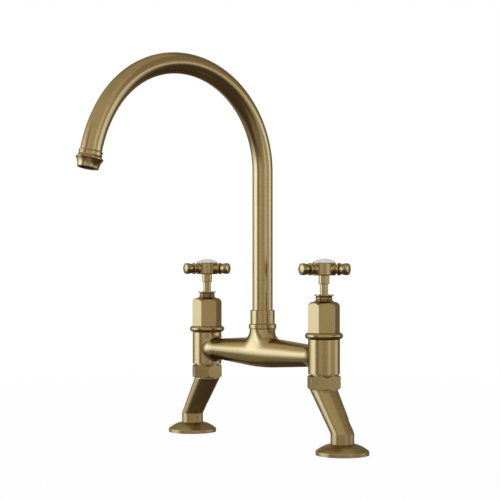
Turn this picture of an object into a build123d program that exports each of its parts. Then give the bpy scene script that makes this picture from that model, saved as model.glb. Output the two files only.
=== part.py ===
from build123d import *
from math import sqrt
import os

# Deck-mounted bridge mixer tap: two cranked legs, a cast bridge with a ceramic-disc valve in each
# column, three-armed handles, and a swan-neck spout that swivels on the middle boss.
# Origin on the worktop midway between the tap holes. +Z is up, the bridge lies along X with the hot
# side at -X, and the spout reaches out along -Y. Sizes are millimetres and degrees.

# Spacings and fits
tap_hole_spacing = 256
bridge_spacing = 200
slip_gap = 0.1
running_gap = 0.05
free_gap = 0.3

# Flanges and cranked legs
flange_diameter = 54.8
flange_rim_height = 3.6
flange_rim_width = 3
flange_rim_edge = 0.9
flange_height = 11.2
flange_dome_bulge = 1.1
deck_seal_thickness = 2.5
inlet_thread_diameter = 18.6
inlet_thread_depth = 14
foot_wall = 2.85
foot_height = 21.5
crank_height = 42
leg_waterway = 14
leg_head_wall = 7.4
leg_head_height = 1.2
neck_wall = 2.5

# Unions between legs and bridge
union_thread_diameter = 26.4
thread_depth = 1.2
nut_wall = 2.6
nut_height = 14
nut_chamfer = 1.4
nut_corner = 0.7
nut_lip = 3.2
nut_to_column = 1.2
union_collar_thickness = 2.5
union_washer_thickness = 2

# Bridge casting
valve_thread_diameter = 21
column_wall = 6
column_height = 36.5
column_edge = 0.5
seat_height = 8
bar_rise = 17.85
bar_end_diameter = 20
bar_middle_diameter = 32.5
bar_crown_length = 44
bar_bore = 13
bar_fillet = 3.5
boss_diameter = 27.8
boss_rise = 25.4
boss_fillet = 13
register_wall = 2.2
register_height = 2

# Ceramic-disc valves
barrel_room = 1.3
seat_seal_thickness = 2.5
seat_seal_proud = 0.8
seat_seal_bore = 9
disc_diameter = 15
disc_thickness = 3
port_diameter = 4.4
port_circle_diameter = 8.4
window_height = 6
window_width = 9
valve_thread_length = 8
valve_washer_thickness = 1
valve_hex_wall = 1.25
valve_hex_height = 4
headwork_diameter = 18.6

# Spindles
spindle_diameter = 8.5
spindle_show = 10.8
spline_diameter = 7.8
tang_thickness = 4.5
tang_depth = 1.5
spindle_seal_section = 1.2
spindle_seal_height = 12
clip_thickness = 1
clip_width = 2.2
clip_groove_depth = 0.6

# Bead rings and hexagon shrouds
bead_overhang = 3.25
bead_height = 6.5
bead_room = 0.4
shroud_setback = 1.9
shroud_wall = 2.4
shroud_hex_height = 27.3
shroud_corner = 0.7
shroud_shoulder_height = 4.4
shroud_shoulder_inset = 1.8
shroud_shoulder_bulge = 0.6
shroud_flare_height = 2.7
shroud_flare_hollow = 0.75
shroud_neck_height = 4.9
shroud_waist_diameter = 16.6
shroud_bead_diameter = 17.6
shroud_bead_height = 1.9
shroud_lip_diameter = 20
shroud_lip_edge = 0.9
shroud_lip_hollow = 0.4
shroud_thread_length = 8.5
clip_room = 2

# Three-armed handles
handle_angle = 21.5
sleeve_wall = 1.35
sleeve_length = 9
sleeve_chamfer = 0.6
hub_diameter = 24.8
hub_height = 13
hub_edge = 1.2
socket_depth = 12
hub_web = 2.5
recess_diameter = 19
arm_count = 3
arm_root_diameter = 9.4
arm_root_length = 3.4
arm_bead_diameter = 13
arm_bead_width = 3
arm_neck_diameter = 9
knob_diameter = 12.2
knob_start = 27.3
arm_flare_hollow = 0.6
arm_reach = 29
screw_diameter = 4
screw_engagement = 8
screw_head_diameter = 7
screw_head_height = 2.4
screw_key = 2.5
button_diameter = 24.2
button_edge = 0.7
button_crown = 4.4
button_plug_depth = 3.2
button_wall = 2

# Swivel spout
plug_diameter = 16.8
plug_length = 18
plug_bore = 12
plug_seal_section = 2
plug_seal_first = 9
plug_seal_pitch = 4.5
grub_diameter = 4
grub_drop = 5
grub_groove_depth = 1.5
grub_key = 2
swivel_ring_diameter = 30
swivel_ring_height = 5.4
swivel_ring_edge = 1
thrust_washer_width = 2.7
thrust_washer_thickness = 1.2
thrust_washer_proud = 0.2
sleeve_floor = 4
spout_sleeve_wall = 2.15
spout_sleeve_height = 15
spout_sleeve_edge = 1
tube_diameter = 22
tube_wall = 1.5
riser_height = 149.8
arch_radius = 109
arch_angle = 145
easing_radius = 137
easing_angle = 23

# Nozzle and aerator, along the outlet axis
nozzle_wall = 0.75
nozzle_socket_depth = 6
nozzle_bead_width = 1.5
nozzle_bead_rise = 0.35
nozzle_ring_diameter = 27.6
nozzle_ring_at = 7.8
nozzle_ring_edge = 0.9
nozzle_flare_start = 4.4
nozzle_flare_hollow = 0.4
nozzle_length = 17.2
nozzle_taper_hollow = 0.7
nozzle_lip_diameter = 21.9
nozzle_shoulder = 1.5
aerator_thread_diameter = 19.6
aerator_washer_thickness = 1.2
aerator_wall = 1.2
aerator_setback = 0.8
aerator_rim = 0.8
aerator_hole_diameter = 1.5
aerator_hole_pitch = 2.7
aerator_hole_rings = 2
aerator_first_ring_holes = 6

# Heights from the worktop up
tap_x = tap_hole_spacing / 2
column_x = bridge_spacing / 2
crank_top = foot_height + crank_height
leg_top = crank_top + leg_head_height
nut_bottom = leg_top + free_gap
nut_top = nut_bottom + nut_height
neck_top = nut_bottom + nut_lip + union_collar_thickness
union_top = neck_top + union_washer_thickness
column_bottom = nut_top + nut_to_column
column_top = column_bottom + column_height
bar_z = column_bottom + bar_rise
boss_top = bar_z + boss_rise
seat_z = column_bottom + seat_height
fixed_disc_z = seat_z + seat_seal_thickness
turning_disc_z = fixed_disc_z + disc_thickness + running_gap
tang_z = turning_disc_z + disc_thickness - tang_depth
window_z = turning_disc_z + disc_thickness
chamber_top = window_z + window_height + free_gap
valve_hex_z = column_top + valve_washer_thickness
valve_barrel_z = valve_hex_z + valve_hex_height
bead_top = column_top + bead_height
shoulder_z = bead_top + shroud_hex_height
shoulder_top = shoulder_z + shroud_shoulder_height
neck_z = shoulder_top + shroud_flare_height
lip_z = neck_z + shroud_neck_height
headwork_top = shoulder_z - clip_room
handle_z = lip_z + spindle_show
hub_z = handle_z + sleeve_length
hub_top = hub_z + hub_height
arm_z = hub_z + hub_height / 2
spline_top = handle_z + socket_depth - slip_gap
recess_z = handle_z + socket_depth + hub_web
ring_top = boss_top + swivel_ring_height
sleeve_z = ring_top + thrust_washer_proud + running_gap
sleeve_top = sleeve_z + spout_sleeve_height
tube_z = sleeve_z + sleeve_floor
arch_z = sleeve_top + riser_height
grub_z = boss_top - grub_drop

# Diameters that follow from threads, bores and walls
foot_diameter = inlet_thread_diameter + 2 * foot_wall
leg_head_diameter = leg_waterway + 2 * leg_head_wall
neck_diameter = leg_waterway + 2 * neck_wall
union_bore = union_thread_diameter - 2 * thread_depth
nut_across_flats = union_thread_diameter + 2 * nut_wall
nut_corner_radius = nut_across_flats / sqrt(3)
column_diameter = valve_thread_diameter + 2 * column_wall
barrel_diameter = valve_thread_diameter - 2 * barrel_room
chamber_diameter = disc_diameter + 2 * slip_gap
valve_hex_flats = valve_thread_diameter + 2 * valve_hex_wall
spindle_bore = spindle_diameter + 2 * running_gap
bead_bore = 2 * valve_hex_flats / sqrt(3) + 2 * bead_room
shroud_flats = column_diameter - 2 * shroud_setback
shroud_corner_radius = shroud_flats / sqrt(3)
handle_sleeve_diameter = spindle_diameter + 2 * sleeve_wall
boss_bore = plug_diameter + 2 * running_gap
register_diameter = boss_bore + 2 * register_wall
ring_bore = plug_diameter + 2 * free_gap
thrust_washer_diameter = ring_bore + 2 * thrust_washer_width
tube_socket_diameter = tube_diameter + 2 * slip_gap
spout_sleeve_diameter = tube_socket_diameter + 2 * spout_sleeve_wall
nozzle_collar_diameter = tube_socket_diameter + 2 * nozzle_wall
aerator_outside = aerator_thread_diameter - 2 * slip_gap
aerator_inside = aerator_outside - 2 * aerator_wall

os.makedirs("parts", exist_ok=True)


def section(x):
    """Upright drawing plane through an axis at x: local x runs outwards, local y is height."""
    return Plane(origin=(x, 0, 0), x_dir=(1, 0, 0), z_dir=(0, -1, 0))


def level(x, z):
    """Level drawing plane centred on an axis at x."""
    return Plane(origin=(x, 0, z), x_dir=(1, 0, 0), z_dir=(0, 0, 1))


def upright(x):
    return Axis((x, 0, 0), (0, 0, 1))


def save(block, node):
    block.part.label = node
    export_step(block.part, f"parts/{node}.step")


# Bridge: two columns, a double-tapered bar between them and a blended boss in the middle,
# with the waterways bored from leg to seat, from valve chamber to boss, and up the boss
bar_end_radius = bar_end_diameter / 2
bar_middle_radius = bar_middle_diameter / 2
# The crown is an arc tangent to both tapers, so it rises by a quarter of its length times their slope
bar_slope = (bar_middle_radius - bar_end_radius) / (column_x - bar_crown_length / 4)
crown_radius = bar_end_radius + bar_slope * (column_x - bar_crown_length / 2)
bar_axis = Axis((0, 0, bar_z), (1, 0, 0))
with BuildPart() as bridge_body:
    with BuildSketch(Plane.XY.offset(column_bottom)):
        with Locations((-column_x, 0), (column_x, 0)):
            Circle(column_diameter / 2)
    extrude(amount=column_height)
    chamfer(bridge_body.edges(), column_edge)
    with BuildSketch(Plane.XZ):
        with BuildLine():
            left_end = (-bar_crown_length / 2, bar_z + crown_radius)
            right_end = (bar_crown_length / 2, bar_z + crown_radius)
            Polyline(right_end, (column_x, bar_z + bar_end_radius), (column_x, bar_z), (-column_x, bar_z),
                     (-column_x, bar_z + bar_end_radius), left_end)
            ThreePointArc(left_end, (0, bar_z + bar_middle_radius), right_end)
        make_face()
    revolve(axis=bar_axis)
    fillet(bridge_body.edges(Select.NEW), bar_fillet)
    # The boss is blended into the bar while it is still too tall, and then cut to its height
    with BuildSketch(Plane.XY.offset(bar_z)):
        Circle(boss_diameter / 2)
    extrude(amount=boss_rise + boss_fillet)
    fillet(bridge_body.edges(Select.NEW), boss_fillet)
    with BuildSketch(Plane.XY.offset(boss_top)):
        Circle(boss_diameter)
    extrude(amount=boss_fillet, mode=Mode.SUBTRACT)
    with BuildSketch(Plane.XY.offset(boss_top)):
        Circle(register_diameter / 2)
    extrude(amount=register_height)
    with BuildSketch(Plane.XY.offset(union_top)):
        with Locations((-column_x, 0), (column_x, 0)):
            Circle(union_thread_diameter / 2)
    extrude(amount=column_bottom - union_top)
    with BuildSketch(Plane.XY.offset(union_top)):
        with Locations((-column_x, 0), (column_x, 0)):
            Circle(leg_waterway / 2)
    extrude(amount=seat_z - union_top, mode=Mode.SUBTRACT)
    with BuildSketch(Plane.XY.offset(seat_z)):
        with Locations((-column_x, 0), (column_x, 0)):
            Circle(valve_thread_diameter / 2)
    extrude(amount=column_top - seat_z, mode=Mode.SUBTRACT)
    with BuildSketch(Plane.YZ.offset(-column_x)):
        with Locations((0, bar_z)):
            Circle(bar_bore / 2)
    extrude(amount=bridge_spacing, mode=Mode.SUBTRACT)
    with BuildSketch(Plane.XY.offset(bar_z)):
        Circle(boss_bore / 2)
    extrude(amount=boss_rise + register_height, mode=Mode.SUBTRACT)
    with BuildSketch(Plane.XZ.offset(-boss_diameter)):
        with Locations((0, grub_z)):
            Circle(grub_diameter / 2 + slip_gap)
    extrude(amount=boss_diameter, mode=Mode.SUBTRACT)
save(bridge_body, "bridge_body")

# One turned arm of a handle, drawn along X from the hub's centre
arm_bead_start = hub_diameter / 2 + arm_root_length
arm_bead_end = arm_bead_start + arm_bead_width
arm_root_radius = arm_root_diameter / 2
arm_neck_radius = arm_neck_diameter / 2
knob_radius = knob_diameter / 2
with BuildPart() as arm:
    with BuildSketch(Plane.XZ):
        with BuildLine():
            Polyline((arm_reach, 0), (0, 0), (0, arm_root_radius), (arm_bead_start, arm_root_radius))
            ThreePointArc((arm_bead_start, arm_root_radius),
                          ((arm_bead_start + arm_bead_end) / 2, arm_bead_diameter / 2),
                          (arm_bead_end, arm_neck_radius))
            SagittaArc((arm_bead_end, arm_neck_radius), (knob_start, knob_radius), arm_flare_hollow)
            EllipticalCenterArc((knob_start, 0), arm_reach - knob_start, knob_radius, arc_size=90)
        make_face()
    revolve(axis=Axis.X)

for side, sign in (("hot", -1), ("cold", 1)):
    foot = sign * tap_x
    post = sign * column_x

    # Domed cover flange with a recess for its seal
    flange_radius = flange_diameter / 2
    flange_bore_radius = foot_diameter / 2 + slip_gap
    seal_radius = flange_radius - flange_rim_width
    with BuildPart() as flange:
        with BuildSketch(section(foot)):
            with BuildLine():
                Polyline((flange_radius, flange_rim_height), (flange_radius, 0), (seal_radius, 0),
                         (seal_radius, deck_seal_thickness), (flange_bore_radius, deck_seal_thickness),
                         (flange_bore_radius, flange_height))
                SagittaArc((flange_bore_radius, flange_height), (flange_radius, flange_rim_height),
                           flange_dome_bulge)
            make_face()
        revolve(axis=upright(foot))
        fillet(flange.edges().filter_by(Plane.XY).sort_by(Axis.Z)[-2], flange_rim_edge)
    save(flange, f"{side}_flange")

    with BuildPart() as deck_seal:
        with BuildSketch(level(foot, 0)):
            Circle(seal_radius - slip_gap)
            Circle(flange_bore_radius, mode=Mode.SUBTRACT)
        extrude(amount=deck_seal_thickness)
    save(deck_seal, f"{side}_deck_seal")

    # Cranked leg: upright foot with a threaded socket, slanted tapering shank, head and neck
    with BuildPart() as leg:
        with BuildSketch(level(foot, 0), level(foot, foot_height)):
            Circle(foot_diameter / 2)
        with BuildSketch(level(post, crank_top), level(post, leg_top)):
            Circle(leg_head_diameter / 2)
        loft(ruled=True)
        with BuildSketch(level(post, leg_top)):
            Circle(neck_diameter / 2)
        extrude(amount=neck_top - leg_top)
        with BuildSketch(level(foot, 0)):
            Circle(inlet_thread_diameter / 2)
        extrude(amount=inlet_thread_depth, mode=Mode.SUBTRACT)
        with BuildSketch(level(foot, inlet_thread_depth), level(foot, foot_height),
                         level(post, crank_top), level(post, neck_top)):
            Circle(leg_waterway / 2)
        loft(ruled=True, mode=Mode.SUBTRACT)
    save(leg, f"{side}_leg")

    # Union: hexagon nut with crowned corners, the collar it pulls on, and a washer
    with BuildPart() as union_nut:
        with BuildSketch(level(post, nut_bottom)) as nut_outline:
            RegularPolygon(nut_across_flats / 2, 6, major_radius=False, rotation=30)
            fillet(nut_outline.vertices(), nut_corner)
        extrude(amount=nut_height)
        with BuildSketch(section(post)):
            with BuildLine():
                Polyline((0, nut_bottom), (nut_across_flats / 2, nut_bottom),
                         (nut_corner_radius, nut_bottom + nut_chamfer),
                         (nut_corner_radius, nut_top - nut_chamfer),
                         (nut_across_flats / 2, nut_top), (0, nut_top), close=True)
            make_face()
        revolve(axis=upright(post), mode=Mode.INTERSECT)
        with BuildSketch(level(post, nut_bottom)):
            Circle(neck_diameter / 2 + slip_gap)
        extrude(amount=nut_lip, mode=Mode.SUBTRACT)
        with BuildSketch(level(post, nut_bottom + nut_lip)):
            Circle(union_thread_diameter / 2 + slip_gap)
        extrude(amount=nut_height - nut_lip, mode=Mode.SUBTRACT)
    save(union_nut, f"{side}_union_nut")

    with BuildPart() as union_collar:
        with BuildSketch(level(post, nut_bottom + nut_lip)):
            Circle(union_bore / 2)
            Circle(neck_diameter / 2 + slip_gap, mode=Mode.SUBTRACT)
        extrude(amount=union_collar_thickness)
    save(union_collar, f"{side}_union_collar")

    with BuildPart() as union_washer:
        with BuildSketch(level(post, neck_top)):
            Circle(union_bore / 2)
            Circle(leg_waterway / 2, mode=Mode.SUBTRACT)
        extrude(amount=union_washer_thickness)
    save(union_washer, f"{side}_union_washer")

    # Headwork: barrel with disc chamber and side windows, thread, hexagon and upper barrel
    with BuildPart() as valve_body:
        with BuildSketch(level(post, seat_z + seat_seal_proud)):
            Circle(barrel_diameter / 2)
        extrude(amount=column_top - valve_thread_length - seat_z - seat_seal_proud)
        with BuildSketch(level(post, column_top - valve_thread_length)):
            Circle(valve_thread_diameter / 2 - slip_gap)
        extrude(amount=valve_thread_length + valve_washer_thickness)
        with BuildSketch(level(post, valve_hex_z)):
            RegularPolygon(valve_hex_flats / 2, 6, major_radius=False)
        extrude(amount=valve_hex_height)
        with BuildSketch(level(post, valve_barrel_z)):
            Circle(headwork_diameter / 2)
        extrude(amount=headwork_top - valve_barrel_z)
        with BuildSketch(level(post, seat_z + seat_seal_proud)):
            Circle(chamber_diameter / 2)
        extrude(amount=chamber_top - seat_z - seat_seal_proud, mode=Mode.SUBTRACT)
        with BuildSketch(level(post, chamber_top)):
            Circle(spindle_bore / 2)
        extrude(amount=headwork_top - chamber_top, mode=Mode.SUBTRACT)
        with BuildSketch(level(post, window_z)):
            Rectangle(barrel_diameter * 2, window_width)
        extrude(amount=window_height, mode=Mode.SUBTRACT)
    save(valve_body, f"{side}_valve_body")

    with BuildPart() as valve_washer:
        with BuildSketch(level(post, column_top)):
            Circle(valve_hex_flats / 2)
            Circle(valve_thread_diameter / 2, mode=Mode.SUBTRACT)
        extrude(amount=valve_washer_thickness)
    save(valve_washer, f"{side}_valve_washer")

    with BuildPart() as seat_seal:
        with BuildSketch(level(post, seat_z)):
            Circle(disc_diameter / 2)
            Circle(seat_seal_bore / 2, mode=Mode.SUBTRACT)
        extrude(amount=seat_seal_thickness)
    save(seat_seal, f"{side}_seat_seal")

    # Ceramic discs: at rest the turning disc's ports stand a quarter turn from the fixed ones
    with BuildPart() as fixed_disc:
        with BuildSketch(level(post, fixed_disc_z)):
            Circle(disc_diameter / 2)
            with PolarLocations(port_circle_diameter / 2, 2):
                Circle(port_diameter / 2, mode=Mode.SUBTRACT)
        extrude(amount=disc_thickness)
    save(fixed_disc, f"{side}_fixed_disc")

    with BuildPart() as turning_disc:
        with BuildSketch(level(post, turning_disc_z)):
            Circle(disc_diameter / 2)
            with PolarLocations(port_circle_diameter / 2, 2, start_angle=90):
                Circle(port_diameter / 2, mode=Mode.SUBTRACT)
        extrude(amount=disc_thickness)
        with BuildSketch(level(post, tang_z)):
            Rectangle(disc_diameter * 2, tang_thickness + 2 * slip_gap)
        extrude(amount=tang_depth, mode=Mode.SUBTRACT)
    save(turning_disc, f"{side}_turning_disc")

    # Spindle: driving tang in the disc, sealed stem, clip groove, splined and tapped top
    seal_z = chamber_top + spindle_seal_height
    clip_z = headwork_top + running_gap
    with BuildPart() as spindle:
        with BuildSketch(level(post, tang_z)):
            Circle(disc_diameter / 2 - slip_gap)
            Rectangle(disc_diameter, tang_thickness, mode=Mode.INTERSECT)
        extrude(amount=chamber_top - free_gap - tang_z)
        with BuildSketch(level(post, window_z + window_height / 2)):
            Circle(spindle_diameter / 2)
        extrude(amount=handle_z - window_z - window_height / 2)
        with BuildSketch(level(post, handle_z)):
            Circle(spline_diameter / 2)
        extrude(amount=spline_top - handle_z)
        with BuildSketch(level(post, seal_z)):
            Circle(spindle_diameter)
            Circle(spindle_diameter / 2 - spindle_seal_section, mode=Mode.SUBTRACT)
        extrude(amount=spindle_seal_section + 2 * slip_gap, mode=Mode.SUBTRACT)
        with BuildSketch(level(post, clip_z)):
            Circle(spindle_diameter)
            Circle(spindle_diameter / 2 - clip_groove_depth, mode=Mode.SUBTRACT)
        extrude(amount=clip_thickness, mode=Mode.SUBTRACT)
        with BuildSketch(level(post, spline_top)):
            Circle(screw_diameter / 2 + slip_gap)
        extrude(amount=-(screw_engagement + screw_diameter / 2), mode=Mode.SUBTRACT)
    save(spindle, f"{side}_spindle")

    with BuildPart() as spindle_oring:
        with BuildSketch(section(post)):
            with Locations(((spindle_diameter - spindle_seal_section) / 2,
                            seal_z + spindle_seal_section / 2 + slip_gap)):
                Circle(spindle_seal_section / 2)
        revolve(axis=upright(post))
    save(spindle_oring, f"{side}_spindle_oring")

    clip_inner_radius = spindle_diameter / 2 - clip_groove_depth
    with BuildPart() as spindle_clip:
        with BuildSketch(level(post, clip_z)):
            Circle(clip_inner_radius + clip_width)
            Circle(clip_inner_radius, mode=Mode.SUBTRACT)
            with Locations((0, -clip_inner_radius - clip_width)):
                Rectangle(clip_inner_radius, 2 * clip_width + clip_inner_radius, mode=Mode.SUBTRACT)
        extrude(amount=clip_thickness)
    save(spindle_clip, f"{side}_spindle_clip")

    # Half-round bead between column and shroud
    bead_radius = bead_height / 2
    bead_centre = column_diameter / 2 + bead_overhang - bead_radius
    with BuildPart() as bead_ring:
        with BuildSketch(section(post)):
            with BuildLine():
                Polyline((bead_centre, bead_top), (bead_bore / 2, bead_top), (bead_bore / 2, column_top),
                         (bead_centre, column_top))
                ThreePointArc((bead_centre, column_top),
                              (bead_centre + bead_radius, column_top + bead_radius),
                              (bead_centre, bead_top))
            make_face()
        revolve(axis=upright(post))
    save(bead_ring, f"{side}_bead_ring")

    # Shroud: hexagon with arched shoulders, turned neck, bead and flared lip
    shoulder_radius = shroud_flats / 2 - shroud_shoulder_inset
    waist_radius = shroud_waist_diameter / 2
    neck_bead_radius = shroud_bead_diameter / 2
    lip_radius = shroud_lip_diameter / 2
    cove_z = neck_z + shroud_bead_height
    lip_edge_z = lip_z - shroud_lip_edge
    with BuildPart() as shroud:
        with BuildSketch(level(post, bead_top)) as shroud_outline:
            RegularPolygon(shroud_flats / 2, 6, major_radius=False)
            fillet(shroud_outline.vertices(), shroud_corner)
        extrude(amount=lip_z - bead_top)
        with BuildSketch(section(post)):
            with BuildLine():
                Polyline((0, lip_z), (0, bead_top), (shroud_corner_radius, bead_top),
                         (shroud_corner_radius, shoulder_z))
                SagittaArc((shroud_corner_radius, shoulder_z), (shoulder_radius, shoulder_top),
                           -shroud_shoulder_bulge)
                SagittaArc((shoulder_radius, shoulder_top), (waist_radius, neck_z), shroud_flare_hollow)
                SagittaArc((waist_radius, neck_z), (waist_radius, cove_z), waist_radius - neck_bead_radius)
                SagittaArc((waist_radius, cove_z), (lip_radius, lip_edge_z), shroud_lip_hollow)
                Polyline((lip_radius, lip_edge_z), (lip_radius, lip_z), (0, lip_z))
            make_face()
        revolve(axis=upright(post), mode=Mode.INTERSECT)
        with BuildSketch(level(post, bead_top)):
            Circle(shroud_flats / 2 - shroud_wall)
        extrude(amount=headwork_top - shroud_thread_length - bead_top, mode=Mode.SUBTRACT)
        with BuildSketch(level(post, headwork_top - shroud_thread_length)):
            Circle(headwork_diameter / 2 + slip_gap)
        extrude(amount=shroud_thread_length + clip_room, mode=Mode.SUBTRACT)
        with BuildSketch(level(post, shoulder_z)):
            Circle(spindle_diameter / 2 + free_gap)
        extrude(amount=lip_z - shoulder_z, mode=Mode.SUBTRACT)
    save(shroud, f"{side}_shroud")

    # Handle: sleeve and hub turned in one, arms, spline socket below and button recess above
    with BuildPart() as handle:
        with BuildSketch(level(post, handle_z)):
            Circle(handle_sleeve_diameter / 2)
        extrude(amount=sleeve_length)
        chamfer(handle.edges().group_by(Axis.Z)[0], sleeve_chamfer)
        with BuildSketch(level(post, hub_z)):
            Circle(hub_diameter / 2)
        extrude(amount=hub_height)
        rims = handle.edges().filter_by(GeomType.CIRCLE)
        fillet(rims.filter_by(lambda rim: rim.radius > recess_diameter / 2), hub_edge)
        with Locations((post, 0, arm_z)):
            with PolarLocations(0, arm_count, start_angle=handle_angle):
                add(arm.part)
        with BuildSketch(level(post, handle_z)):
            Circle(spline_diameter / 2 + running_gap)
        extrude(amount=socket_depth, mode=Mode.SUBTRACT)
        with BuildSketch(level(post, recess_z)):
            Circle(recess_diameter / 2)
        extrude(amount=hub_top - recess_z, mode=Mode.SUBTRACT)
        with BuildSketch(level(post, handle_z)):
            Circle(screw_diameter / 2 + slip_gap)
        extrude(amount=hub_height + sleeve_length, mode=Mode.SUBTRACT)
    save(handle, f"{side}_handle")

    with BuildPart() as handle_screw:
        with BuildSketch(level(post, spline_top - screw_engagement)):
            Circle(screw_diameter / 2)
        extrude(amount=recess_z - spline_top + screw_engagement)
        with BuildSketch(level(post, recess_z)):
            Circle(screw_head_diameter / 2)
        extrude(amount=screw_head_height)
        with BuildSketch(level(post, recess_z + screw_head_height)):
            RegularPolygon(screw_key / 2, 6, major_radius=False)
        extrude(amount=-screw_head_height / 2, mode=Mode.SUBTRACT)
    save(handle_screw, f"{side}_handle_screw")

    # Domed button, hollow underneath over the screw head
    button_radius = button_diameter / 2
    plug_radius = recess_diameter / 2 - slip_gap
    hollow_radius = plug_radius - button_wall
    plug_end_z = hub_top - button_plug_depth
    button_rim = (button_radius, hub_top + button_edge)
    with BuildPart() as button:
        with BuildSketch(section(post)):
            with BuildLine():
                Polyline((0, hub_top + button_crown), (0, hub_top), (hollow_radius, hub_top),
                         (hollow_radius, plug_end_z), (plug_radius, plug_end_z),
                         (plug_radius, hub_top), (button_radius, hub_top), button_rim)
                TangentArc((0, hub_top + button_crown), button_rim, tangent=(1, 0))
            make_face()
        revolve(axis=upright(post))
    save(button, f"{side}_button")

# Swivel ring seated on the boss register, with a recess for the thrust washer
ring_radius = swivel_ring_diameter / 2
thrust_recess = thrust_washer_thickness - thrust_washer_proud
with BuildPart() as swivel_ring:
    with BuildSketch(Plane.XY.offset(boss_top)):
        Circle(ring_radius)
    extrude(amount=swivel_ring_height)
    fillet(swivel_ring.edges().filter_by(GeomType.CIRCLE), swivel_ring_edge)
    with BuildSketch(Plane.XY.offset(boss_top)):
        Circle(register_diameter / 2 + slip_gap)
    extrude(amount=register_height, mode=Mode.SUBTRACT)
    with BuildSketch(Plane.XY.offset(boss_top)):
        Circle(ring_bore / 2)
    extrude(amount=swivel_ring_height, mode=Mode.SUBTRACT)
    with BuildSketch(Plane.XY.offset(ring_top)):
        Circle(thrust_washer_diameter / 2 + slip_gap)
    extrude(amount=-thrust_recess, mode=Mode.SUBTRACT)
save(swivel_ring, "swivel_ring")

with BuildPart() as thrust_washer:
    with BuildSketch(Plane.XY.offset(ring_top - thrust_recess)):
        Circle(thrust_washer_diameter / 2)
        Circle(ring_bore / 2, mode=Mode.SUBTRACT)
    extrude(amount=thrust_washer_thickness)
save(thrust_washer, "thrust_washer")

# Grub screw from behind, its tip in the plug's groove
grub_tip = plug_diameter / 2 - grub_groove_depth + free_gap
with BuildPart() as spout_grub_screw:
    with BuildSketch(Plane.XZ.offset(-grub_tip)):
        with Locations((0, grub_z)):
            Circle(grub_diameter / 2)
    extrude(amount=-(boss_diameter / 2 - grub_tip - free_gap))
    with BuildSketch(Plane.XZ.offset(-(boss_diameter / 2 - free_gap))):
        with Locations((0, grub_z)):
            RegularPolygon(grub_key / 2, 6, major_radius=False)
    extrude(amount=grub_key, mode=Mode.SUBTRACT)
save(spout_grub_screw, "spout_grub_screw")

# Spout foot: sleeve that holds the tube, and a grooved plug that turns in the boss
plug_z = boss_top - plug_length
seal_heights = [boss_top - plug_seal_first, boss_top - plug_seal_first - plug_seal_pitch]
seal_groove = plug_seal_section + 2 * slip_gap
grub_groove = grub_diameter + 2 * free_gap
with BuildPart() as spout_spigot:
    with BuildSketch(Plane.XY.offset(plug_z)):
        Circle(plug_diameter / 2)
    extrude(amount=sleeve_z - plug_z)
    with BuildSketch(Plane.XY.offset(sleeve_z)):
        Circle(spout_sleeve_diameter / 2)
    extrude(amount=spout_sleeve_height)
    fillet(spout_spigot.edges().group_by(Axis.Z)[-1], spout_sleeve_edge)
    for seal_height in seal_heights:
        with BuildSketch(Plane.XY.offset(seal_height - seal_groove / 2)):
            Circle(plug_diameter)
            Circle(plug_diameter / 2 - plug_seal_section, mode=Mode.SUBTRACT)
        extrude(amount=seal_groove, mode=Mode.SUBTRACT)
    with BuildSketch(Plane.XY.offset(grub_z - grub_groove / 2)):
        Circle(plug_diameter)
        Circle(plug_diameter / 2 - grub_groove_depth, mode=Mode.SUBTRACT)
    extrude(amount=grub_groove, mode=Mode.SUBTRACT)
    with BuildSketch(Plane.XY.offset(plug_z)):
        Circle(plug_bore / 2)
    extrude(amount=tube_z - plug_z, mode=Mode.SUBTRACT)
    with BuildSketch(Plane.XY.offset(tube_z)):
        Circle(tube_socket_diameter / 2)
    extrude(amount=sleeve_top - tube_z, mode=Mode.SUBTRACT)
save(spout_spigot, "spout_spigot")

with BuildPart() as spout_orings:
    with BuildSketch(Plane.XZ):
        with Locations(*[((plug_diameter - plug_seal_section) / 2, height) for height in seal_heights]):
            Circle(plug_seal_section / 2)
    revolve(axis=Axis.Z)
save(spout_orings, "spout_orings")

# Swan neck: straight riser, wide arch, an easing bend, and a short straight end inside the nozzle
with BuildLine(Plane.YZ) as spout_path:
    riser = Line((0, tube_z), (0, arch_z))
    arch = JernArc(start=riser @ 1, tangent=riser % 1, radius=arch_radius, arc_size=arch_angle)
    easing = JernArc(start=arch @ 1, tangent=arch % 1, radius=easing_radius, arc_size=easing_angle)
    Line(easing @ 1, (easing @ 1) + nozzle_socket_depth * (easing % 1))
with BuildPart() as spout_tube:
    with BuildSketch(Plane.XY.offset(tube_z)):
        Circle(tube_diameter / 2)
        Circle(tube_diameter / 2 - tube_wall, mode=Mode.SUBTRACT)
    sweep(path=spout_path.line)
save(spout_tube, "spout_tube")

# Outlet frame: it starts where the easing bend ends and runs down the outlet's axis
outlet_start = easing @ 1
outlet_dir = easing % 1
outlet_axis = Axis(outlet_start, outlet_dir)
outlet_section = Plane(origin=outlet_start, x_dir=(1, 0, 0), z_dir=(0, -outlet_dir.Z, outlet_dir.Y))
outlet = Plane(origin=outlet_start, x_dir=(1, 0, 0), z_dir=outlet_dir)

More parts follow.
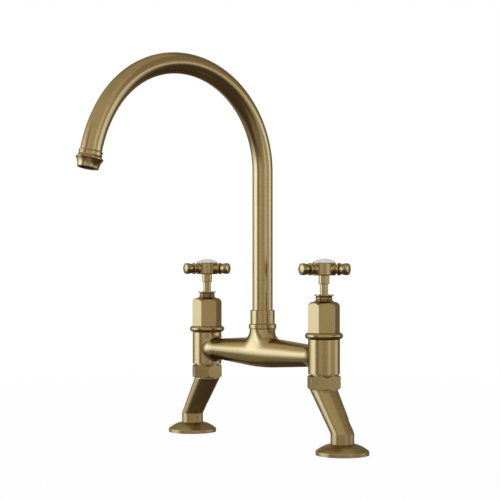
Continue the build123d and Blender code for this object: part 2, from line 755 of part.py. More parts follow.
# Nozzle: collar with a thin top bead, flared ring, hollow taper and plain lip
collar_radius = nozzle_collar_diameter / 2
nozzle_ring_radius = nozzle_ring_diameter / 2
nozzle_lip_radius = nozzle_lip_diameter / 2
ring_start = nozzle_ring_at - nozzle_ring_edge / 2
ring_end = nozzle_ring_at + nozzle_ring_edge / 2
aerator_at = nozzle_socket_depth + nozzle_shoulder
with BuildPart() as nozzle:
    with BuildSketch(outlet_section):
        with BuildLine():
            Polyline((collar_radius, 0), (0, 0), (0, nozzle_length), (nozzle_lip_radius, nozzle_length))
            SagittaArc((collar_radius, 0), (collar_radius, nozzle_bead_width), -nozzle_bead_rise)
            Line((collar_radius, nozzle_bead_width), (collar_radius, nozzle_flare_start))
            SagittaArc((collar_radius, nozzle_flare_start), (nozzle_ring_radius, ring_start),
                       nozzle_flare_hollow)
            Line((nozzle_ring_radius, ring_start), (nozzle_ring_radius, ring_end))
            SagittaArc((nozzle_ring_radius, ring_end), (nozzle_lip_radius, nozzle_length),
                       nozzle_taper_hollow)
        make_face()
    revolve(axis=outlet_axis)
    with BuildSketch(outlet):
        Circle(tube_socket_diameter / 2)
    extrude(amount=nozzle_socket_depth, mode=Mode.SUBTRACT)
    with BuildSketch(outlet):
        Circle(tube_diameter / 2 - tube_wall - nozzle_shoulder)
    extrude(amount=nozzle_length, mode=Mode.SUBTRACT)
    with BuildSketch(outlet.offset(aerator_at)):
        Circle(aerator_thread_diameter / 2)
    extrude(amount=nozzle_length - aerator_at, mode=Mode.SUBTRACT)
save(nozzle, "nozzle")

# Aerator: washer on the nozzle's shoulder, threaded housing with an inner rim, perforated insert
housing_at = aerator_at + aerator_washer_thickness
housing_end = nozzle_length - aerator_setback
insert_end = housing_end - aerator_rim
with BuildPart() as aerator_washer:
    with BuildSketch(outlet.offset(aerator_at)):
        Circle(aerator_outside / 2)
        Circle(aerator_inside / 2 - aerator_wall, mode=Mode.SUBTRACT)
    extrude(amount=aerator_washer_thickness)
save(aerator_washer, "aerator_washer")

with BuildPart() as aerator_housing:
    with BuildSketch(outlet.offset(housing_at)):
        Circle(aerator_outside / 2)
        Circle(aerator_inside / 2, mode=Mode.SUBTRACT)
    extrude(amount=housing_end - housing_at)
    with BuildSketch(outlet.offset(insert_end)):
        Circle(aerator_outside / 2)
        Circle(aerator_inside / 2 - aerator_rim, mode=Mode.SUBTRACT)
    extrude(amount=aerator_rim)
save(aerator_housing, "aerator_housing")

with BuildPart() as aerator_insert:
    with BuildSketch(outlet.offset(housing_at)):
        Circle(aerator_inside / 2 - slip_gap)
        Circle(aerator_hole_diameter / 2, mode=Mode.SUBTRACT)
        for ring in range(1, aerator_hole_rings + 1):
            with PolarLocations(ring * aerator_hole_pitch, ring * aerator_first_ring_holes):
                Circle(aerator_hole_diameter / 2, mode=Mode.SUBTRACT)
    extrude(amount=insert_end - housing_at)
save(aerator_insert, "aerator_insert")
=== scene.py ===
import math

import bpy
from mathutils import Matrix, Vector


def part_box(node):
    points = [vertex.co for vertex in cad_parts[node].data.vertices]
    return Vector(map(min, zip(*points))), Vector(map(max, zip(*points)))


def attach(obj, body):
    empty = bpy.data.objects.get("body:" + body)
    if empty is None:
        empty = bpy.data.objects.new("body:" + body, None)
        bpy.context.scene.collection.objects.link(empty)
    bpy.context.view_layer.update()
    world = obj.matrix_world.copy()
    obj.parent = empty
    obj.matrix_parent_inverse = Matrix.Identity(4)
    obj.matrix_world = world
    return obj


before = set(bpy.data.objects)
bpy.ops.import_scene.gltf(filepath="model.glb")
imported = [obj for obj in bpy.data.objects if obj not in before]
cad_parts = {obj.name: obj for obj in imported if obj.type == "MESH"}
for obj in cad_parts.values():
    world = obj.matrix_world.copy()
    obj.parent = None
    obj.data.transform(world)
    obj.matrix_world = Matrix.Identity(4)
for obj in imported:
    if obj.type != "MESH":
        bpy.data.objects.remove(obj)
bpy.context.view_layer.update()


# Legs: hollow brass castings, bent so that the tap spans holes wider than its bridge. They are
# linished lengthwise on a belt and lacquered, so the fine scratches run up the leg.
SIDES = ("hot", "cold")
BRASS_LIGHT = (0.338, 0.239, 0.098, 1)
BRASS_DEEP = (0.287, 0.201, 0.081, 1)
BRASS_EDGE = (0.72, 0.66, 0.58, 1)
BRASS_SATIN = 0.16
LEG_SATIN = 0.27
SATIN_SPREAD = 0.1
SCRATCHES_PER_METRE = 5200
SCRATCH_ROUGHNESS = 0.55
SCRATCH_STRETCH = 0.012
SCRATCH_RELIEF = 0.02
SCRATCH_DEPTH = 0.00004
LONG_MARKS_PER_METRE = SCRATCHES_PER_METRE / 6
CLOUDS_PER_METRE = 55
SCRATCH_SHARE = 0.45
LONG_MARK_SHARE = 0.3
CLOUD_SHARE = 0.25


class Shade:
    """A socket of a material's node tree: arithmetic on it adds Math nodes."""

    def __init__(self, tree, socket=None):
        self.tree = tree
        self.socket = socket

    def node(self, kind, sockets, settings=None, output=0):
        """Adds a node: its settings first, then the values or links of its sockets."""
        made = self.tree.nodes.new(kind)
        for name, value in (settings or {}).items():
            setattr(made, name, value)
        for name, value in sockets.items():
            if isinstance(value, Shade):
                self.tree.links.new(value.socket, made.inputs[name])
            else:
                made.inputs[name].default_value = value
        return Shade(self.tree, made.outputs[output])

    def maths(self, operation, first, second=0.0):
        return self.node("ShaderNodeMath", {0: first, 1: second}, {"operation": operation})

    def __add__(self, other):
        return self.maths("ADD", self, other)

    def __radd__(self, other):
        return self.maths("ADD", other, self)

    def __sub__(self, other):
        return self.maths("SUBTRACT", self, other)

    def __rsub__(self, other):
        return self.maths("SUBTRACT", other, self)

    def __mul__(self, other):
        return self.maths("MULTIPLY", self, other)

    def __rmul__(self, other):
        return self.maths("MULTIPLY", other, self)

    def place(self):
        """Where on the piece a point lies, in metres."""
        return self.node("ShaderNodeTexCoord", {}, output="Object")

    def axes(self):
        """The x, y and z of a place."""
        split = self.node("ShaderNodeSeparateXYZ", {0: self}).socket.node
        return [Shade(self.tree, output) for output in split.outputs]

    def vector(self, x, y, z):
        return self.node("ShaderNodeCombineXYZ", {"X": x, "Y": y, "Z": z})

    def polar(self, other):
        """Distance from the axis and turn round it, where this and other are the two coordinates."""
        return self.maths("SQRT", self * self + other * other), self.maths("ARCTAN2", other, self)

    def noise(self, per_metre, detail, roughness=0.5):
        """Noise over a place, with so many marks to the metre."""
        return self.node("ShaderNodeTexNoise", {"Vector": self, "Scale": per_metre, "Detail": detail,
                                                "Roughness": roughness})

    def tint(self, dark, light):
        """The dark colour at 0, the light one at 1."""
        return self.node("ShaderNodeMix", {0: self, 6: dark, 7: light}, {"data_type": "RGBA"}, output=2)

    def bump(self, strength, depth):
        return self.node("ShaderNodeBump", {"Strength": strength, "Distance": depth, "Height": self})


def new_finish(name):
    """A fresh material with its shader, and a Shade to add nodes with."""
    material = bpy.data.materials.new(name)
    material.use_nodes = True
    return material, material.node_tree.nodes["Principled BSDF"], Shade(material.node_tree)


def feed(shader, **links):
    """Links shades to a shader's sockets, whose names have spaces for underscores."""
    for name, shade in links.items():
        shade.tree.links.new(shade.socket, shader.inputs[name.replace("_", " ")])


def brushed_brass(name, grain, satin=BRASS_SATIN):
    """Satin brass. grain turns Object coordinates into ones where the scratches run along Z."""
    material, shader, shade = new_finish(name)
    place = shade.place()
    x, y, z = grain(place)
    fibres = shade.vector(x, y, z * SCRATCH_STRETCH)
    scratch = fibres.noise(SCRATCHES_PER_METRE, detail=2, roughness=SCRATCH_ROUGHNESS)
    long_mark = fibres.noise(LONG_MARKS_PER_METRE, detail=1)
    cloud = place.noise(CLOUDS_PER_METRE, detail=3)
    tone = SCRATCH_SHARE * scratch + LONG_MARK_SHARE * long_mark + CLOUD_SHARE * cloud
    colour = tone.tint(BRASS_DEEP, BRASS_LIGHT)
    marks = (scratch + long_mark).bump(SCRATCH_RELIEF, SCRATCH_DEPTH)
    feed(shader, Base_Color=colour, Roughness=satin + SATIN_SPREAD * tone, Normal=marks)
    shader.inputs["Metallic"].default_value = 1.0
    shader.inputs["Specular Tint"].default_value = BRASS_EDGE
    return material


def dress(node, material):
    """Gives a node of the frame its finish."""
    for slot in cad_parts[node].material_slots:
        slot.material = material


def lengthwise(place):
    """Scratches that run up and down."""
    return place.axes()


upright_brass = brushed_brass("brass_brushed_upright", lengthwise)
leg_brass = brushed_brass("brass_linished_leg", lengthwise, satin=LEG_SATIN)
for side in SIDES:
    dress(f"{side}_leg", leg_brass)


# Flanges and their seals: turned brass domes that hide the tap holes, polished on the lathe, so
# the marks run round. A black rubber ring in the underside keeps water out of the hole.
FLANGE_SATIN = 0.28
TURNED_STRETCH = 0.02
RUBBER_BLACK = (0.012, 0.012, 0.013, 1)
RUBBER_DUST = (0.05, 0.05, 0.052, 1)


def centre(node):
    """Middle of a node's box."""
    low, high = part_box(node)
    return (low + high) / 2


def turned_about(node, lean=0.0):
    """Scratches that run round a node's axis, which is upright or leans out over the sink."""
    middle = centre(node)
    middle_depth = middle.y * math.cos(lean) - middle.z * math.sin(lean)

    def grain(place):
        x, y, z = place.axes()
        depth = y * math.cos(lean) - z * math.sin(lean) - middle_depth
        height = y * math.sin(lean) + z * math.cos(lean)
        radius, turn = (x - middle.x).polar(depth)
        return radius, height, turn * TURNED_STRETCH
    return grain


def mottled_finish(name, per_metre, detail, dark, light, satin, spread, relief=0.0, depth=0.0001,
                   metal=0.0):
    """A plain finish whose tone and gloss vary a little from place to place."""
    material, shader, shade = new_finish(name)
    marks = shade.place().noise(per_metre, detail)
    feed(shader, Base_Color=marks.tint(dark, light), Roughness=satin + spread * marks)
    if relief:
        feed(shader, Normal=marks.bump(relief, depth))
    shader.inputs["Metallic"].default_value = metal
    return material


seal_rubber = mottled_finish("seal_rubber_black", per_metre=900, detail=4, dark=RUBBER_BLACK,
                             light=RUBBER_DUST, satin=0.6, spread=0.25, relief=0.2)
for side in SIDES:
    flange = f"{side}_flange"
    dress(flange, brushed_brass(f"brass_turned_{flange}", turned_about(flange), satin=FLANGE_SATIN))
    dress(f"{side}_deck_seal", seal_rubber)


# Unions: a hexagon nut draws each leg up against the bridge on a collar and a red fibre washer.
# The nut is milled from bar and brushed along its flats.
FIBRE_DEEP = (0.13, 0.030, 0.018, 1)
FIBRE_RED = (0.36, 0.12, 0.07, 1)
washer_fibre = mottled_finish("washer_fibre_red", per_metre=1400, detail=5, dark=FIBRE_DEEP,
                              light=FIBRE_RED, satin=0.7, spread=0.2, relief=0.3)
post_brass = {}
for side in SIDES:
    post_brass[side] = brushed_brass(f"brass_turned_{side}_post", turned_about(f"{side}_union_nut"))
    dress(f"{side}_union_nut", upright_brass)
    dress(f"{side}_union_collar", post_brass[side])
    dress(f"{side}_union_washer", washer_fibre)


# Bridge: one hollow casting with two columns, a bar that swells to the middle and a boss for the
# spout. The columns are brushed upright and the bar along its length, blended at the fillets.
BLEND_FROM_RADII = 1.6
BLEND_TO_RADII = 0.9


def bridge_grain(place):
    """Upright on the columns and along the bar between them."""
    x, y, z = place.axes()
    low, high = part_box("bridge_body")
    column_radius = (high.y - low.y) / 2
    column_x = high.x - column_radius
    blend_from = column_x - BLEND_FROM_RADII * column_radius
    blend_to = column_x - BLEND_TO_RADII * column_radius
    reach = place.maths("ABSOLUTE", x)
    on_bar = place.node("ShaderNodeMapRange", {"Value": reach, "From Min": blend_from,
                                               "From Max": blend_to, "To Min": 1.0, "To Max": 0.0})
    along = x * on_bar + z * (1 - on_bar)
    across = z * on_bar + x * (1 - on_bar)
    return across, y, along


bridge_brass = brushed_brass("brass_brushed_bridge", bridge_grain)
dress("bridge_body", bridge_brass)


# Bar fillets: where the casting's bar runs into each column, the corner is filled with a wide hollow
# and ground smooth. Each lies over the part's own smaller fillet.
FILLET_TURNS = 96
FILLET_STEPS = 14
SMOOTH_ANGLE = math.radians(35)
SWING_EASE = 0.25
CORE_SHARE = 0.8
COLUMN_X = 0.1
COLUMN_RADIUS = 0.0165
BAR_Z = 0.09805
BAR_END_RADIUS = 0.010
BAR_SLOPE = 0.0702
BAR_RAILS = {"spread": 61, "above": 0.0170, "below": 0.0152, "out_aside": 0.0232, "out_above": 0.0222}


def fillet_ring(name, sections, material, body):
    """A closed ring of equal sections, joined one to the next."""
    ring = len(sections[0])
    faces = []
    for index in range(len(sections)):
        here = index * ring
        there = (index + 1) % len(sections) * ring
        for step in range(ring):
            after = (step + 1) % ring
            faces.append((here + step, here + after, there + after, there + step))
    shape = bpy.data.meshes.new(name)
    shape.from_pydata([point for section in sections for point in section], [], faces)
    fillet = bpy.data.objects.new(name, shape)
    bpy.context.scene.collection.objects.link(fillet)
    bpy.ops.object.select_all(action="DESELECT")
    bpy.context.view_layer.objects.active = fillet
    fillet.select_set(True)
    bpy.ops.object.mode_set(mode="EDIT")
    bpy.ops.mesh.select_all(action="SELECT")
    bpy.ops.mesh.normals_make_consistent(inside=False)
    bpy.ops.object.mode_set(mode="OBJECT")
    bpy.ops.object.shade_smooth_by_angle(angle=SMOOTH_ANGLE)
    shape.materials.append(material)
    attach(fillet, body)


def branch_sections(place, heading, post_radius, bar_radius, bar_slope, spread, above, below,
                    out_aside, out_above):
    """Sections round a level bar where it leaves an upright post: curves that touch both. They reach up
    to spread degrees round the post, so far above and below the bar's axis, and so far out along the
    bar at its sides and at its top and bottom."""
    along = Vector((math.cos(heading), math.sin(heading), 0))
    aside = Vector((-along.y, along.x, 0))
    sections = []
    for index in range(FILLET_TURNS):
        turn = 2 * math.pi * index / FILLET_TURNS
        round_bar = Vector((0, math.cos(turn), math.sin(turn)))
        out = out_aside * round_bar.y ** 2 + out_above * round_bar.z ** 2
        bar_normal = (round_bar - Vector((bar_slope, 0, 0))).normalized()
        on_bar = round_bar * (bar_radius + bar_slope * out) + Vector((out, 0, 0))
        swing = math.radians(spread) * round_bar.y * abs(round_bar.y) ** SWING_EASE
        post_normal = Vector((math.cos(swing), math.sin(swing), 0))
        rise = max(round_bar.z, 0) * above + min(round_bar.z, 0) * below
        on_post = post_normal * post_radius + Vector((0, 0, rise))
        crease = post_normal.cross(bar_normal).normalized()
        halfway = crease.dot(on_bar + on_post) / 2
        planes = Matrix((post_normal, bar_normal, crease))
        corner = planes.inverted() @ Vector((post_radius, bar_normal.dot(on_bar), halfway))
        points = []
        for step in range(FILLET_STEPS + 1):
            share = step / FILLET_STEPS
            leaving_bar = on_bar * (1 - share) ** 2 + corner * 2 * share * (1 - share)
            points.append(leaving_bar + on_post * share ** 2)
        points.append(Vector((post_radius, 0, 0)) * CORE_SHARE + round_bar * bar_radius * CORE_SHARE)
        sections.append([place + along * p.x + aside * p.y + Vector((0, 0, p.z)) for p in points])
    return sections


for side, column_x, heading in (("hot", -COLUMN_X, 0.0), ("cold", COLUMN_X, math.pi)):
    bar_sections = branch_sections(Vector((column_x, 0, BAR_Z)), heading, COLUMN_RADIUS, BAR_END_RADIUS,
                                   BAR_SLOPE, **BAR_RAILS)
    fillet_ring(f"{side}_bar_fillet", bar_sections, bridge_brass, "tap_body")


# Boss fillet: the hollow where the boss rises from the casting's bar, as a ball leaves it that rolls
# round the boss. It is wide along the bar and at the front, and narrow behind, below the grub screw.
CROWN_HALF = 0.022
BAR_MIDDLE_RADIUS = 0.01625
BOSS_RADIUS = 0.0139
BOSS_TOP = 0.1234
BOSS_CORE_Z = 0.110
BOSS_CORE_RADIUS = 0.0115
BLEND_TOP_ALONG = 0.1270
BLEND_TOP_FRONT = 0.1210
BLEND_TOP_BACK = 0.1155
SMALLEST_BALL = 0.002
LARGEST_BALL = 0.3
BALL_TRIES = 50
TOUCH_TRIES = 30


def bar_outline(x):
    """Radius and slope of the bar: an arc in the middle between two tapers."""
    past = abs(x) - CROWN_HALF
    if past < 0:
        return BAR_MIDDLE_RADIUS - BAR_SLOPE * x * x / (2 * CROWN_HALF), -BAR_SLOPE * x / CROWN_HALF
    crown_end = BAR_MIDDLE_RADIUS - BAR_SLOPE * CROWN_HALF / 2
    return crown_end - BAR_SLOPE * past, -math.copysign(BAR_SLOPE, x)


def ball_on_bar(turn, ball):
    """Middle of a ball that touches boss and bar at a turn round the boss, and its touch on the bar."""
    across = (BOSS_RADIUS + ball) * math.cos(turn)
    depth = (BOSS_RADIUS + ball) * math.sin(turn)
    touch_x = across
    for _ in range(TOUCH_TRIES):
        radius, slope = bar_outline(touch_x)
        touch_x = across + slope * ball / math.hypot(1, slope)
    reach = radius + ball / math.hypot(1, slope)
    rise = math.sqrt(reach * reach - depth * depth)
    touch = Vector((touch_x, depth * radius / reach, BAR_Z + rise * radius / reach))
    return Vector((across, depth, BAR_Z + rise)), touch


def ball_at_height(turn, height):
    """The ball at a turn round the boss whose middle lies at a height: its radius, middle and touch."""
    small = SMALLEST_BALL
    large = LARGEST_BALL
    for _ in range(BALL_TRIES):
        ball = (small + large) / 2
        middle, touch = ball_on_bar(turn, ball)
        if middle.z < height:
            small = ball
        else:
            large = ball
    return ball, middle, touch


boss_sections = []
for index in range(FILLET_TURNS):
    turn = 2 * math.pi * index / FILLET_TURNS
    blend_top = BLEND_TOP_FRONT if math.sin(turn) < 0 else BLEND_TOP_BACK
    blend_top = BLEND_TOP_ALONG + (blend_top - BLEND_TOP_ALONG) * math.sin(turn) ** 2
    ball, middle, touch = ball_at_height(turn, blend_top)
    to_bar = (touch - middle).normalized()
    inward = Vector((-math.cos(turn), -math.sin(turn), 0))
    drop = max(middle.z - BOSS_TOP, 0.0) / ball
    to_boss = inward * math.sqrt(1 - drop * drop) - Vector((0, 0, drop))
    points = []
    for step in range(FILLET_STEPS + 1):
        points.append(middle + to_bar.slerp(to_boss, step / FILLET_STEPS) * ball)
    points.append(Vector((0, 0, BOSS_CORE_Z)) - inward * BOSS_CORE_RADIUS)
    boss_sections.append(points)
fillet_ring("boss_fillet", boss_sections, bridge_brass, "tap_body")


# Headworks: ceramic-disc valves screwed into the columns under the shrouds. Plain turned brass
# bodies, white alumina discs lapped to a mirror, and rubber and fibre seals.
GLAZE_SHADE = (0.76, 0.765, 0.78, 1)
GLAZE_WHITE = (0.84, 0.84, 0.845, 1)
GLAZE_SATIN = 0.1
GLAZE_SPREAD = 0.12
GLAZE_COAT = 0.5
GLAZE_COAT_ROUGHNESS = 0.05


def white_ceramic(name):
    """White ceramic under a clear glaze that has a faint orange peel."""
    material, shader, shade = new_finish(name)
    place = shade.place()
    cloud = place.noise(per_metre=180, detail=3)
    colour = cloud.tint(GLAZE_SHADE, GLAZE_WHITE)
    orange_peel = place.noise(per_metre=700, detail=1).bump(strength=0.02, depth=0.0001)
    feed(shader, Base_Color=colour, Roughness=GLAZE_SATIN + GLAZE_SPREAD * cloud, Normal=orange_peel)
    shader.inputs["Coat Weight"].default_value = GLAZE_COAT
    shader.inputs["Coat Roughness"].default_value = GLAZE_COAT_ROUGHNESS
    return material


glazed_white = white_ceramic("ceramic_white")
for side in SIDES:
    dress(f"{side}_valve_body", post_brass[side])
    dress(f"{side}_valve_washer", washer_fibre)
    dress(f"{side}_seat_seal", seal_rubber)
    dress(f"{side}_fixed_disc", glazed_white)
    dress(f"{side}_turning_disc", glazed_white)


# Bead rings and shrouds: a turned half-round ring, then a hexagon cover screwed down over the
# headwork. The hexagon is brushed along its flats, its neck and lip are turned.
SHROUD_NECK_DROP = 0.0076


def shroud_grain(shroud):
    """Upright on the hexagon, round the axis above its shoulder."""
    axis_x = centre(shroud).x
    neck_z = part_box(shroud)[1].z - SHROUD_NECK_DROP

    def grain(place):
        x, y, z = place.axes()
        radius, turn = (x - axis_x).polar(y)
        neck = place.maths("GREATER_THAN", z, neck_z)
        flat = 1 - neck
        return x * flat + radius * neck, y * flat + z * neck, z * flat + turn * neck * TURNED_STRETCH
    return grain


for side in SIDES:
    shroud = f"{side}_shroud"
    dress(shroud, brushed_brass(f"brass_brushed_{shroud}", shroud_grain(shroud)))
    dress(f"{side}_bead_ring", post_brass[side])


# Spindles and handles: the turned valve stem carries a hub with three turned arms, brazed in and
# brushed. A steel screw holds it under a white glazed button.
STEEL_DARK = (0.42, 0.42, 0.43, 1)
STEEL_LIGHT = (0.62, 0.62, 0.62, 1)
screw_steel = mottled_finish("screw_steel", per_metre=1600, detail=4, dark=STEEL_DARK,
                             light=STEEL_LIGHT, satin=0.25, spread=0.2, relief=0.1, depth=0.00005,
                             metal=1.0)
for side in SIDES:
    dress(f"{side}_spindle", upright_brass)
    dress(f"{side}_spindle_oring", seal_rubber)
    dress(f"{side}_spindle_clip", screw_steel)
    dress(f"{side}_handle", post_brass[side])
    dress(f"{side}_handle_screw", screw_steel)
    dress(f"{side}_button", glazed_white)


# Arm fillets: the braze between hub and arms, filed to a small hollow round each arm and brushed with
# the handle.
HUB_RADIUS = 0.0124
HUB_HALF_HEIGHT = 0.0065
ARM_ROOT_RADIUS = 0.0047
ARM_SLOPE = 0.0
ARM_HEADINGS = (21.5, 141.5, 261.5)
ARM_RAILS = {"spread": 32, "above": 0.0053, "below": 0.0053, "out_aside": 0.0135, "out_above": 0.0130}
for side, column_x in (("hot", -COLUMN_X), ("cold", COLUMN_X)):
    hub = Vector((column_x, 0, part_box(f"{side}_handle")[1].z - HUB_HALF_HEIGHT))
    for number, heading in enumerate(ARM_HEADINGS, 1):
        arm_sections = branch_sections(hub, math.radians(heading), HUB_RADIUS, ARM_ROOT_RADIUS,
                                       ARM_SLOPE, **ARM_RAILS)
        fillet_ring(f"{side}_arm_fillet_{number}", arm_sections, post_brass[side], f"{side}_control")


# Swivel: a turned ring on the boss with a white slip washer in it, the spout's plug with its two
# seals, and the grub screw at the back that keeps the plug in.
SLIP_SHADE = (0.70, 0.70, 0.66, 1)
SLIP_WHITE = (0.80, 0.80, 0.77, 1)
slip_plastic = mottled_finish("slip_washer_white", per_metre=300, detail=3, dark=SLIP_SHADE,
                              light=SLIP_WHITE, satin=0.35, spread=0.15)
dress("swivel_ring", brushed_brass("brass_turned_swivel", turned_about("swivel_ring")))
dress("thrust_washer", slip_plastic)
dress("spout_grub_screw", screw_steel)
dress("spout_spigot", upright_brass)
dress("spout_orings", seal_rubber)


# Spout: one drawn brass tube bent to a swan neck and brushed lengthwise after bending, so the
# scratches follow the bend.
tube_low, tube_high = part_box("spout_tube")
TUBE_RADIUS = (tube_high.x - tube_low.x) / 2
ARCH_RADIUS = 0.109
ARCH_TOP = tube_high.z - TUBE_RADIUS
ARCH_CENTRE_Z = ARCH_TOP - ARCH_RADIUS


def swan_neck(place):
    """Along the riser below the arch, and along the bend above it."""
    x, y, z = place.axes()
    rise = place.maths("MAXIMUM", z - ARCH_CENTRE_Z, 0.0)
    radius, bend = (y + ARCH_RADIUS).polar(rise)
    return x, radius, bend * ARCH_RADIUS + place.maths("MINIMUM", z, ARCH_CENTRE_Z)


dress("spout_tube", brushed_brass("brass_brushed_swan_neck", swan_neck))


# Outlet: a turned nozzle soldered to the tube, with a screwed-in aerator that a rubber washer seals.
# The aerator's housing and sieve get a near-black satin finish, which is painted shade for the outlet's
# dark inside.
OUTLET_LEAN = math.radians(12)
# Near-black and blue-black tones of the painted shade inside the outlet.
OUTLET_SHADE_BLACK = (0.008, 0.010, 0.018, 1)
OUTLET_SHADE_BLUE = (0.022, 0.027, 0.048, 1)
SHADED_OUTLET_PIECES = {"aerator_housing": "aerator_housing_painted_shade", "aerator_insert": "aerator_sieve_painted_shade"}
dress("nozzle", brushed_brass("brass_turned_nozzle", turned_about("nozzle", OUTLET_LEAN)))
dress("aerator_washer", seal_rubber)
# Painted shade: the aerator's pieces get a near-black finish for the dark inside of the outlet, in
# place of their own colour.
for node, finish in SHADED_OUTLET_PIECES.items():
    painted_shade_finish = mottled_finish(finish, per_metre=2200, detail=3, dark=OUTLET_SHADE_BLACK,
                                   light=OUTLET_SHADE_BLUE, satin=0.35, spread=0.2)
    dress(node, painted_shade_finish)


# Camera: the photograph's place, level with the handles. It isn't tilted, so uprights stay upright, and
# the picture is slid up a little instead.
FRAME_PIXELS = 500
FOCAL_PIXELS = 1406
HORIZON_PIXELS = 262
CAMERA_TURN = math.radians(51.1)
CAMERA_DISTANCE = 1.531
CAMERA_SIDE = -0.0137
CAMERA_HEIGHT = 0.1962
towards = Vector((math.sin(CAMERA_TURN), -math.cos(CAMERA_TURN), 0))
rightwards = Vector((math.cos(CAMERA_TURN), math.sin(CAMERA_TURN), 0))
lens = bpy.data.cameras.new("photo_camera")
camera = bpy.data.objects.new("photo_camera", lens)
bpy.context.scene.collection.objects.link(camera)
camera.location = towards * CAMERA_DISTANCE + rightwards * CAMERA_SIDE + Vector((0, 0, CAMERA_HEIGHT))
camera.rotation_euler = (math.pi / 2, 0, CAMERA_TURN)
lens.lens = FOCAL_PIXELS * lens.sensor_width / FRAME_PIXELS
lens.shift_y = (HORIZON_PIXELS - FRAME_PIXELS / 2) / FRAME_PIXELS
bpy.context.scene.camera = camera


# Floor and surroundings: a pale floor that keeps the tap's soft shadow near its feet and turns to the
# plain white of the surroundings further off, so that no horizon shows.
FLOOR_SIZE = 14.0
FLOOR_PALE = (0.9, 0.9, 0.9, 1)
FLOOR_ROUGHNESS = 0.9
FLOOR_GLOW = 0.97
SHADOW_REACH = 0.4
FLOOR_FADE = 0.9
AMBIENT = 0.6
WHITE = (1, 1, 1, 1)


def seen_directly(shade):
    """One for camera, mirror and glass rays, which see the plain white studio."""
    paths = [shade.node("ShaderNodeLightPath", {}, output=name)
             for name in ("Is Camera Ray", "Is Glossy Ray", "Is Transmission Ray")]
    return shade.maths("MINIMUM", paths[0] + paths[1] + paths[2], 1.0)


def eased(value, start, end):
    """Rises smoothly from 0 to 1 as the value goes from start to end."""
    return value.node("ShaderNodeMapRange", {"Value": value, "From Min": start, "From Max": end},
                      {"interpolation_type": "SMOOTHSTEP"})


def add_plane(name, size, place):
    """A level square."""
    bpy.ops.object.select_all(action="DESELECT")
    bpy.ops.mesh.primitive_plane_add(size=size, location=place)
    plane = bpy.context.object
    plane.name = name
    return plane


def cover(plane, material, surface):
    """Makes a shade the whole surface of a plane's material."""
    output = material.node_tree.nodes["Material Output"]
    material.node_tree.links.new(surface.socket, output.inputs["Surface"])
    plane.data.materials.append(material)


floor = add_plane("studio_floor", FLOOR_SIZE, (0, 0, 0))
pale, pale_shader, shade = new_finish("floor_pale")
pale_shader.inputs["Base Color"].default_value = FLOOR_PALE
pale_shader.inputs["Roughness"].default_value = FLOOR_ROUGHNESS
pale_shader.inputs["Specular IOR Level"].default_value = 0.0
matt = Shade(pale.node_tree, pale_shader.outputs[0])
glow = shade.node("ShaderNodeEmission", {"Color": WHITE, "Strength": 1.0})
x, y, z = shade.place().axes()
far = eased(shade.maths("SQRT", x * x + y * y), SHADOW_REACH, SHADOW_REACH + FLOOR_FADE)
glow_share = seen_directly(shade) * (FLOOR_GLOW + (1 - FLOOR_GLOW) * far)
cover(floor, pale, shade.node("ShaderNodeMixShader", {0: glow_share, 1: matt, 2: glow}))
floor.visible_glossy = False

world = bpy.data.worlds.new("white_studio")
bpy.context.scene.world = world
world.use_nodes = True
background = world.node_tree.nodes["Background"]
background.inputs["Color"].default_value = WHITE
white = seen_directly(Shade(world.node_tree)) * (1 - AMBIENT) + AMBIENT
world.node_tree.links.new(white.socket, background.inputs["Strength"])


# Lights: one broad soft box overhead for the floor and the white buttons. What the metal mirrors stands
# far off, as for any shiny product: soft boxes with cool lamps to the left and right and beside the
# camera, grey cards between and behind them, and a dark cloth below. The camera itself sees none of it.
TOP_HEIGHT = 2.0
TOP_SIZE = 1.6
TOP_RADIANCE = 1.1
PANEL_DISTANCE = 6.0
MIDDLE_HEIGHT = 0.2
COOL_LAMP = (0.82, 1.01, 1.46)
MILD_LAMP = (0.89, 1.02, 1.22)
GREY_CARD = (1.02, 1.0, 0.96)
BROWN_CLOTH = (1.14, 0.97, 0.90)
lamp = bpy.data.lights.new("top_soft_box", "AREA")
lamp.size = TOP_SIZE
lamp.energy = TOP_RADIANCE * math.pi * TOP_SIZE * TOP_SIZE
top_box = bpy.data.objects.new("top_soft_box", lamp)
bpy.context.scene.collection.objects.link(top_box)
top_box.location = (0, 0, TOP_HEIGHT)
top_box.visible_camera = False
top_box.visible_glossy = False


def mirrored_only(panel, colour, strength, feather_across, feather_up):
    """Gives a panel an even glow that fades out at its edges, seen by mirror rays alone."""
    material, _, shade = new_finish(f"{panel.name}_glow")
    u, v, _ = shade.node("ShaderNodeTexCoord", {}, output="Generated").axes()
    across = eased(u, 0.0, feather_across) * eased(1 - u, 0.0, feather_across)
    edge = across * eased(v, 0.0, feather_up) * eased(1 - v, 0.0, feather_up)
    glow = shade.node("ShaderNodeEmission", {"Color": (*colour, 1), "Strength": strength})
    clear = shade.node("ShaderNodeBsdfTransparent", {})
    cover(panel, material, shade.node("ShaderNodeMixShader", {0: edge, 1: clear, 2: glow}))
    panel.visible_camera = False
    panel.visible_diffuse = False
    panel.visible_shadow = False


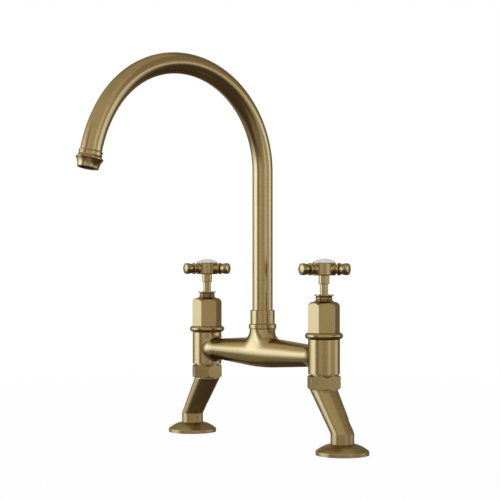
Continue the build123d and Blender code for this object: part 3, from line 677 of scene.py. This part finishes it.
def standing_panel(name, first, last, low, high, colour, strength, feather_across, feather_up):
    """A far panel between two angles round from the camera, positive to the right, and two above level.
    Its edges fade over these shares of its width and height."""
    turn = math.radians((first + last) / 2)
    half_width = PANEL_DISTANCE * math.tan(math.radians((last - first) / 2))
    bottom = MIDDLE_HEIGHT + PANEL_DISTANCE * math.tan(math.radians(low))
    top = MIDDLE_HEIGHT + PANEL_DISTANCE * math.tan(math.radians(high))
    out = towards * math.cos(turn) + rightwards * math.sin(turn)
    panel = add_plane(name, 1.0, out * PANEL_DISTANCE + Vector((0, 0, (bottom + top) / 2)))
    panel.scale = (2 * half_width, top - bottom, 1)
    panel.rotation_euler = (-out).to_track_quat("-Z", "Y").to_euler()
    mirrored_only(panel, colour, strength, feather_across, feather_up)


def lying_panel(name, height, size, colour, strength, feather):
    """A level panel above or below the tap."""
    mirrored_only(add_plane(name, size, (0, 0, height)), colour, strength, feather, feather)


lying_panel("dark_cloth", -14, 270.0, BROWN_CLOTH, 0.12, 0.3)
lying_panel("ceiling_card", 12, 20.0, GREY_CARD, 0.78, 0.25)
standing_panel("left_soft_box", -124, -60, -29, 37, COOL_LAMP, 3.1, 0.3, 0.5)
standing_panel("left_core", -104, -66, -9, 22, COOL_LAMP, 4.5, 0.35, 0.4)
standing_panel("left_high_core", -120, -86, -1, 19, COOL_LAMP, 4.2, 0.35, 0.45)
standing_panel("left_low_card", -145, -66, -48, -4, GREY_CARD, 0.5, 0.35, 0.4)
standing_panel("left_front_card", -40, -14, -12, 35, MILD_LAMP, 1.3, 0.4, 0.3)
standing_panel("camera_card", -8, 16, -20, 15, GREY_CARD, 0.76, 0.4, 0.3)
standing_panel("front_low_card", -46, 42, -46, 4, GREY_CARD, 0.55, 0.4, 0.5)
standing_panel("camera_side_box", 22, 50, -18, 34, MILD_LAMP, 1.9, 0.4, 0.4)
standing_panel("right_soft_box", 69, 113, -2, 16, COOL_LAMP, 2.6, 0.22, 0.2)
standing_panel("right_low_box", 84, 116, -12, 2, COOL_LAMP, 1.8, 0.3, 0.3)
standing_panel("left_flag", -67, -38, -25, 40, GREY_CARD, 0.42, 0.4, 0.2)
standing_panel("right_upper_card", 42, 128, 14, 64, GREY_CARD, 0.52, 0.15, 0.12)
standing_panel("right_back_card", 110, 182, -32, 64, GREY_CARD, 0.38, 0.1, 0.15)
standing_panel("left_back_card", -182, -130, -32, 64, GREY_CARD, 0.52, 0.15, 0.15)
standing_panel("left_back_low_card", -172, -126, -42, -14, GREY_CARD, 0.7, 0.35, 0.4)

bpy.context.scene.view_settings.view_transform = "Standard"
